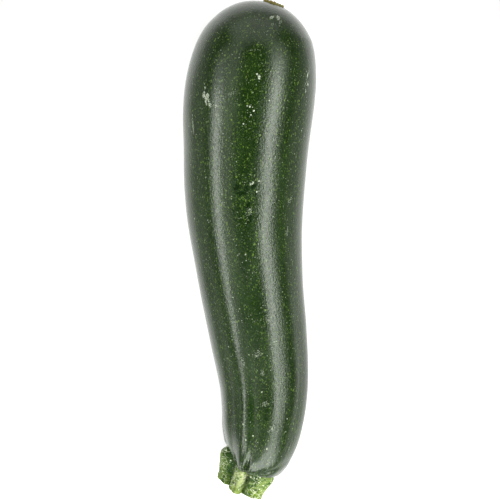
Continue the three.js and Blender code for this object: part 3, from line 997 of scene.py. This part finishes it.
def stem_material(settings):
    """Bristly stem: cream ridges, green flanks, deep green hollows, and a moist cut face, with painted light
    on the ridges that face up and painted shade in the hollows and at the foot.
    """
    w = Wiring("ridged_green_stem")
    place = w.painted("stem_place", "Vector")
    ridge = w.painted("ridge")
    down = w.painted("down_stem")
    depth = w.painted("cut_depth")
    tint = w.painted("ridge_paleness_and_light")
    mottle = w.noise(place, scale=650.0, detail=3.0, roughness=0.65)
    fibres = w.noise(w.scaled(place, 1.0, 1.0, 0.2), scale=1300.0)
    raised = w.math("ADD", ridge, w.math("MULTIPLY_ADD", mottle, 4.2, -2.2))
    # Deep green hollows, partly the stem's own colour and partly painted shade.
    green = w.mix(w.step(raised, 0.05, 0.55), settings.hollow, settings.flank)
    # Pale ridges, partly their own cream and partly painted light where they face up.
    green = w.mix(w.product(w.step(raised, 0.5, 1.05), tint), green, settings.ridge)
    cream = w.product(w.step(tint, 0.7, 1.0), w.step(mottle, 0.42, 0.6, 0.1, 0.7))
    green = w.mix(cream, green, RIDGE_CREAM)
    near_cut = w.product(w.step(down, 0.4, 0.95), w.step(mottle, 0.4, 0.6, 0.35, 0.9))
    green = w.mix(near_cut, green, LOWER_GREEN)
    # Painted shade: the shaded hollows and the foot turn a deep green.
    shaded = w.product(w.painted("shaded"), w.step(mottle, 0.35, 0.6, 1.0, 0.55))
    green = w.mix(shaded, green, SHADED_GREEN)

    # A patchy net of pale threads, dots on the ridges and coarser grains near the fruit.
    jitter = w.scaled(w.noise(place, scale=900.0, out="Color"), 0.8 * MM, 0.8 * MM, 0.8 * MM)
    net = w.add(
        "ShaderNodeTexVoronoi",
        {"Vector": w.moved(place, jitter), "Scale": 480.0},
        feature="DISTANCE_TO_EDGE",
    )
    threads = w.step(net.outputs["Distance"], 0.07, 0.015)
    patchy = w.step(w.noise(place, scale=260.0), 0.4, 0.6, 0.25, 0.9)
    threads = w.product(threads, w.product(w.step(ridge, 0.1, 0.5, 0.1, 1.0), patchy))
    green = w.mix(threads, green, THREAD_CREAM)
    dots, _ = w.spots(place, scale=950.0, least=0.12, most=0.34, softness=0.4)
    dots = w.product(dots, w.step(ridge, 0.1, 0.45))
    green = w.mix(w.product(dots, 0.8), green, DOT_CREAM)
    grains, _ = w.spots(w.moved(place, (0.007, 0.0, 0.003)), scale=620.0, least=0.16, most=0.3)
    grains = w.product(grains, w.step(down, 0.55, 0.2))
    green = w.mix(grains, green, GRAIN_CREAM)

    # The cut face: a green rind, pale flesh, a ring of bundles and a dry middle.
    flesh = w.mix(w.step(w.noise(place, scale=1600.0), 0.35, 0.7), settings.cut, FLESH_GREEN)
    ring = w.product(w.step(depth, 0.2, 0.28), w.step(depth, 0.42, 0.34))
    flesh = w.mix(w.product(ring, 0.5), flesh, BUNDLE_GREEN)
    flesh = w.mix(w.product(w.step(depth, 0.72, 0.9), 0.6), flesh, DRY_MIDDLE)
    colour = w.mix(w.step(depth, 0.03, 0.09), green, flesh)
    height = w.math("MULTIPLY_ADD", fibres, 0.7, mottle)
    height = w.math("MULTIPLY_ADD", dots, 0.8, height)
    height = w.math("MULTIPLY_ADD", threads, 0.5, height)
    return w.finish(
        {
            "Base Color": colour,
            "Roughness": w.step(mottle, 0.3, 0.7, 0.48, 0.68),
            "IOR": STEM_IOR,
            "Subsurface Weight": 0.08,
            "Subsurface Radius": (0.6, 1.0, 0.25),
            "Subsurface Scale": 1.2 * MM,
        },
        height,
        STEM_RELIEF,
    )


class COURGETTE_OT_stem(bpy.types.Operator):
    """Build the cut stub of the five-ridged stem"""

    bl_idname = "courgette.stem"
    bl_label = "Stem"

    def execute(self, context):
        settings = context.scene.courgette_stem
        dress(build_stem(), stem_material(settings), "stem")
        return {"FINISHED"}


BRISTLE_GREEN = (0.25, 0.29, 0.16, 1.0)
BRISTLE_CREAM = (0.42, 0.44, 0.34, 1.0)
BRISTLE_SINK = 0.1 * MM
BRISTLE_SPREAD = 0.5  # how far the bristles lean away from straight out
BRISTLE_REACH = (0.12, 0.98)  # the shares of the stem's length between which they grow
BRISTLES_IN_HOLLOWS = 0.25  # the share of them that grow in a hollow, against all on a ridge
SHORTEST_BRISTLE = 0.45  # a share of the longest
BRISTLE_HALF_WIDTH = (0.05, 0.09)  # the thinnest and the thickest in mm
BRISTLE_SIDES = 3


def bristle_material():
    w = Wiring("pale_bristle")
    spot = w.add("ShaderNodeTexCoord").outputs["Object"]
    tint = w.mix(w.noise(spot, scale=900.0, detail=1.0), BRISTLE_GREEN, BRISTLE_CREAM)
    return w.finish({"Base Color": tint, "Roughness": 0.5})


def build_bristles(settings):
    """Short stiff hairs, thickest on the ridges, each a thin three-sided spike."""
    draw = np.random.default_rng(settings.seed)
    direction = stem_direction()
    side, rise = section_frame(direction)
    points, faces = [], []
    for _ in range(settings.bristles):
        share = draw.uniform(*BRISTLE_REACH)
        angle = draw.uniform(-180, 180)
        twisted = np.array([angle + STEM_TWIST * (1 - share)])
        flare = 1 - smoothstep(share, 0.0, 1.0)
        radius, near = stem_section(twisted, np.array([flare]))
        if draw.random() > lerp(BRISTLES_IN_HOLLOWS, 1.0, float(near[0])):
            continue
        tuck = 1 - FOOT_TUCK * (1 - smoothstep(share * STEM_LENGTH, 0.0, FOOT_TUCK_LENGTH))
        turned = math.radians(angle)
        out = rise * math.cos(turned) - side * math.sin(turned)
        sunk = float(radius[0]) * tuck - BRISTLE_SINK
        root = STEM_FOOT + direction * (share * STEM_LENGTH) + out * sunk
        lean = unit(out + BRISTLE_SPREAD * draw.normal(size=3))
        length = settings.bristle_length * draw.uniform(SHORTEST_BRISTLE, 1.0) + BRISTLE_SINK
        thick = draw.uniform(*BRISTLE_HALF_WIDTH) * MM
        across = unit(np.cross(lean, direction))
        other = np.cross(lean, across)
        start = len(points)
        tip = start + BRISTLE_SIDES
        for corner in range(BRISTLE_SIDES):
            turn_at = 2 * math.pi * corner / BRISTLE_SIDES
            outer = thick * (across * math.cos(turn_at) + other * math.sin(turn_at))
            points.append(tuple(root + outer + OFFSET))
            faces.append((start + corner, start + (corner + 1) % BRISTLE_SIDES, tip))
        points.append(tuple(root + lean * length + OFFSET))
        faces.append(tuple(range(tip - 1, start - 1, -1)))
    mesh = bpy.data.meshes.new("stem_bristles")
    mesh.from_pydata(points, [], faces)
    mesh.update()
    piece = bpy.data.objects.new("stem_bristles", mesh)
    bpy.context.scene.collection.objects.link(piece)
    return piece


class COURGETTE_OT_bristles(bpy.types.Operator):
    """Set short pale bristles over the stem"""

    bl_idname = "courgette.bristles"
    bl_label = "Stem bristles"

    def execute(self, context):
        piece = build_bristles(context.scene.courgette_stem)
        dress(piece, bristle_material(), "")
        return {"FINISHED"}


def build_scar():
    """A dished, lobed button with a torn dry rim, from its sunk edge to the style in the middle."""
    angle = np.linspace(-180, 180, SCAR_SIDES, endpoint=False)[None, :]
    outward = np.array((math.sin(SCAR_TURN), math.cos(SCAR_TURN), 0.0))
    side, rise = section_frame(outward)
    share = np.linspace(0.0, 1.0, SCAR_RINGS)[:, None]
    knots, radii, rises = zip(*SCAR_PROFILE)
    radius = np.interp(share, knots, radii)
    height = np.interp(share, knots, rises)
    turned = np.radians(angle)
    lobes = 1 + SCAR_LOBE_DEPTH * np.cos(SCAR_LOBES * turned)
    level = np.broadcast_to(height, (SCAR_RINGS, SCAR_SIDES))
    place = np.stack([radius * np.sin(turned), radius * np.cos(turned), level], axis=-1)
    rim = bump(share, *RIM_REACH)
    crumple = soft_noise(place, SCAR_CRUMPLE_SIZE, octaves=3)
    round_rim = np.stack([np.sin(turned), np.cos(turned), 0 * turned], axis=-1) * RIM_FOLD_RADIUS
    folds = soft_noise(round_rim, RIM_FOLD_SIZE)
    height = height + rim * (RIM_CRUMPLE * crumple + RIM_FOLDS * folds) + SCAR_CRUMPLE * crumple
    spread = radius * lobes + rim * RIM_FLARE * folds
    centre = SCAR_SEAT + outward * height[..., None]
    points = section_points(centre, side, rise, angle, spread) + OFFSET
    points = points[:, ::-1]
    piece = tube("scar_button", points, points[0].mean(axis=0), points[-1].mean(axis=0))
    paint(piece, "scar_place", place[:, ::-1], [(0.0, 0.0, -SCAR_SINK), (0.0, 0.0, SCAR_PROUD)])
    paint(piece, "inward", np.broadcast_to(share, points.shape[:2]), (0.0, 1.0))
    return piece


RIM_GREEN = (0.14, 0.16, 0.03, 1.0)
MIDDLE_BROWN = (0.2, 0.13, 0.05, 1.0)
STYLE_BROWN = (0.1, 0.06, 0.02, 1.0)
SCAR_RELIEF = 0.15 * MM


def scar_material(settings):
    """Dry, corky tissue: an orange-brown rim round a paler, darker-veined middle."""
    w = Wiring("dry_blossom_scar")
    place = w.painted("scar_place", "Vector")
    inward = w.painted("inward")
    mottle = w.noise(place, scale=1500.0, detail=3.0, roughness=0.6)
    rim = w.mix(w.step(mottle, 0.35, 0.65), settings.rim, RIM_GREEN)
    middle = w.mix(w.step(mottle, 0.4, 0.7), settings.middle, MIDDLE_BROWN)
    colour = w.mix(w.step(inward, 0.34, 0.5), rim, middle)
    colour = w.mix(w.step(inward, 0.86, 0.96), colour, STYLE_BROWN)
    return w.finish({"Base Color": colour, "Roughness": 0.8}, mottle, SCAR_RELIEF)


class COURGETTE_OT_scar(bpy.types.Operator):
    """Build the dry scar that the flower left on the crown"""

    bl_idname = "courgette.scar"
    bl_label = "Blossom scar"

    def execute(self, context):
        dress(build_scar(), scar_material(context.scene.courgette_scar), "blossom_scar")
        return {"FINISHED"}


FLOOR_SIZE = 12.0
FLOOR_DROP = 0.02 * MM
# The floor's colour paints a pool of light round the fruit: full brightness near it, darker further out.
PAINTED_LIGHT_POOL = (0.055, 0.135)  # how far out the floor begins to darken, and where it no longer does
PAINTED_POOL_ALONG = 0.4  # how much a distance along the fruit counts, so that the pool is longer that way
ROOM_FADE = (0.6, 0.25)  # how far up the room goes dark, and how much of its brightness is left
LIGHT_DISTANCE = 2.4
LIGHT_TINT = (0.96, 1.0, 0.94)
# Soft lights: degrees from straight up towards +X and towards +Y, degrees that they span across and along,
# and the share of their group's brightness.
KEY_LIGHTS = {
    "left_key": (-56, -18, 14, 32, 1.1),
    "left_key_middle": (-62, -7, 24, 52, 0.3),
    "left_key_ends": (-56, -2, 20, 74, 0.12),
    "right_key": (44, -10, 13, 30, 0.86),
    "right_key_middle": (44, -7, 20, 48, 0.52),
    "right_key_ends": (44, -2, 24, 74, 0.28),
}
FILL_LIGHTS = {
    "left_fill": (-34, 0, 24, 70, 0.9),
    "right_fill": (62, 0, 20, 70, 0.32),
    "crown_fill": (0, 72, 70, 66, 0.85),
    "neck_fill": (2, -34, 50, 26, 0.5),
}
END_LIGHTS = {"stem_end_light": (10, -60, 80, 34, 1.65)}


def soft_light(name, across, along, span_across, span_along, radiance):
    """A rectangular light that faces the fruit, with its size and power set from the angles it spans."""
    light = bpy.data.lights.new(name, "AREA")
    light.shape = "RECTANGLE"
    spans = (span_across, span_along)
    one, other = (2 * LIGHT_DISTANCE * math.tan(math.radians(span / 2)) for span in spans)
    light.size, light.size_y = (one, other) if abs(along) > abs(across) else (other, one)
    light.energy = radiance * math.pi * one * other
    light.color = LIGHT_TINT
    lamp = bpy.data.objects.new(name, light)
    sideways, lengthways = (math.tan(math.radians(lean)) for lean in (across, along))
    direction = Vector((sideways, lengthways, 1.0)).normalized()
    lamp.location = LIGHT_DISTANCE * direction
    lamp.rotation_euler = (-direction).to_track_quat("-Z", "Y").to_euler()
    bpy.context.scene.collection.objects.link(lamp)


def set_lights(settings):
    for group, radiance in (
        (KEY_LIGHTS, settings.key_light),
        (FILL_LIGHTS, settings.fill_light),
        (END_LIGHTS, settings.end_light),
    ):
        for name, (across, along, span_across, span_along, share) in group.items():
            soft_light(name, across, along, span_across, span_along, radiance * share)


def set_world(settings):
    """A room that is grey at the height of the table and dark overhead."""
    world = bpy.data.worlds.new("grey_room")
    world.use_nodes = True
    nodes, links = world.node_tree.nodes, world.node_tree.links
    place = nodes.new("ShaderNodeTexCoord")
    split = nodes.new("ShaderNodeSeparateXYZ")
    fade = nodes.new("ShaderNodeMapRange")
    fade.inputs["From Min"].default_value = 0.0
    fade.inputs["From Max"].default_value = ROOM_FADE[0]
    fade.inputs["To Min"].default_value = settings.surround
    fade.inputs["To Max"].default_value = settings.surround * ROOM_FADE[1]
    links.new(place.outputs["Generated"], split.inputs[0])
    links.new(split.outputs["Z"], fade.inputs["Value"])
    links.new(fade.outputs["Result"], nodes["Background"].inputs["Strength"])
    nodes["Background"].inputs["Color"].default_value = (1.0, 1.0, 1.0, 1.0)
    bpy.context.scene.world = world


def set_floor(settings):
    half = FLOOR_SIZE / 2
    mesh = bpy.data.meshes.new("pale_floor_with_painted_pool")
    around = ((-half, -half), (half, -half), (half, half), (-half, half))
    mesh.from_pydata([(x, y, -FLOOR_DROP) for x, y in around], [], [(0, 1, 2, 3)])
    floor = bpy.data.objects.new("pale_floor_with_painted_pool", mesh)
    bpy.context.scene.collection.objects.link(floor)
    w = Wiring("pale_floor_with_painted_pool")
    # Painted pool of light: the floor's colour is brightest round the fruit and falls to the darker edge
    # colour further out.
    spot = w.add("ShaderNodeTexCoord").outputs["Object"]
    flattened = w.scaled(spot, 1.0, PAINTED_POOL_ALONG, 1.0)
    far = w.add("ShaderNodeVectorMath", {0: flattened}, operation="LENGTH").outputs["Value"]
    outer = [settings.painted_pool_edge * value for value in settings.floor[:3]] + [1.0]
    tint = w.mix(w.step(far, *PAINTED_LIGHT_POOL), settings.floor, outer)
    mesh.materials.append(w.finish({"Base Color": tint, "Roughness": 0.9}))


def set_camera():
    camera = bpy.data.cameras.new("overhead_camera")
    camera.sensor_width = SENSOR
    pixels = (CAMERA_HEIGHT - SCALE_HEIGHT) / (MM_PER_PIXEL * MM)
    camera.lens = pixels / PIXELS * SENSOR
    camera.clip_end = 50.0
    holder = bpy.data.objects.new("overhead_camera", camera)
    holder.location = (CAMERA_X, CAMERA_Y, CAMERA_HEIGHT)
    bpy.context.scene.collection.objects.link(holder)
    bpy.context.scene.camera = holder
    bpy.context.scene.view_settings.view_transform = "Standard"


class COURGETTE_OT_stage(bpy.types.Operator):
    """Set the pale floor, the soft lights and the overhead camera"""

    bl_idname = "courgette.stage"
    bl_label = "Stage"

    def execute(self, context):
        settings = context.scene.courgette_stage
        set_camera()
        set_floor(settings)
        set_world(settings)
        set_lights(settings)
        return {"FINISHED"}


class COURGETTE_PT_panel(bpy.types.Panel):
    """Lists the courgette's pieces and their settings"""

    bl_idname = "COURGETTE_PT_panel"
    bl_label = "Courgette"
    bl_space_type = "VIEW_3D"
    bl_region_type = "UI"
    bl_category = "Courgette"

    def draw(self, context):
        scene = context.scene
        for label, operators, settings in (
            ("Stage", ("courgette.stage",), scene.courgette_stage),
            ("Fruit", ("courgette.fruit",), scene.courgette_fruit),
            ("Stem", ("courgette.stem", "courgette.bristles"), scene.courgette_stem),
            ("Blossom scar", ("courgette.scar",), scene.courgette_scar),
        ):
            box = self.layout.box()
            box.label(text=label)
            for name in settings.bl_rna.properties.keys():
                if name not in ("rna_type", "name"):
                    box.prop(settings, name)
            for operator in operators:
                box.operator(operator)


SETTINGS = {
    "courgette_fruit": FruitSettings,
    "courgette_stem": StemSettings,
    "courgette_scar": ScarSettings,
    "courgette_stage": StageSettings,
}
CLASSES = (
    *SETTINGS.values(),
    COURGETTE_OT_stage,
    COURGETTE_OT_fruit,
    COURGETTE_OT_stem,
    COURGETTE_OT_bristles,
    COURGETTE_OT_scar,
    COURGETTE_PT_panel,
)


def register():
    for cls in CLASSES:
        bpy.utils.register_class(cls)
    for name, group in SETTINGS.items():
        setattr(bpy.types.Scene, name, PointerProperty(type=group))


def unregister():
    for name in SETTINGS:
        delattr(bpy.types.Scene, name)
    for cls in reversed(CLASSES):
        bpy.utils.unregister_class(cls)


def main():
    register()
    bpy.ops.courgette.stage()
    bpy.ops.courgette.fruit()
    bpy.ops.courgette.stem()
    bpy.ops.courgette.bristles()
    bpy.ops.courgette.scar()


if __name__ == "__main__":
    main()
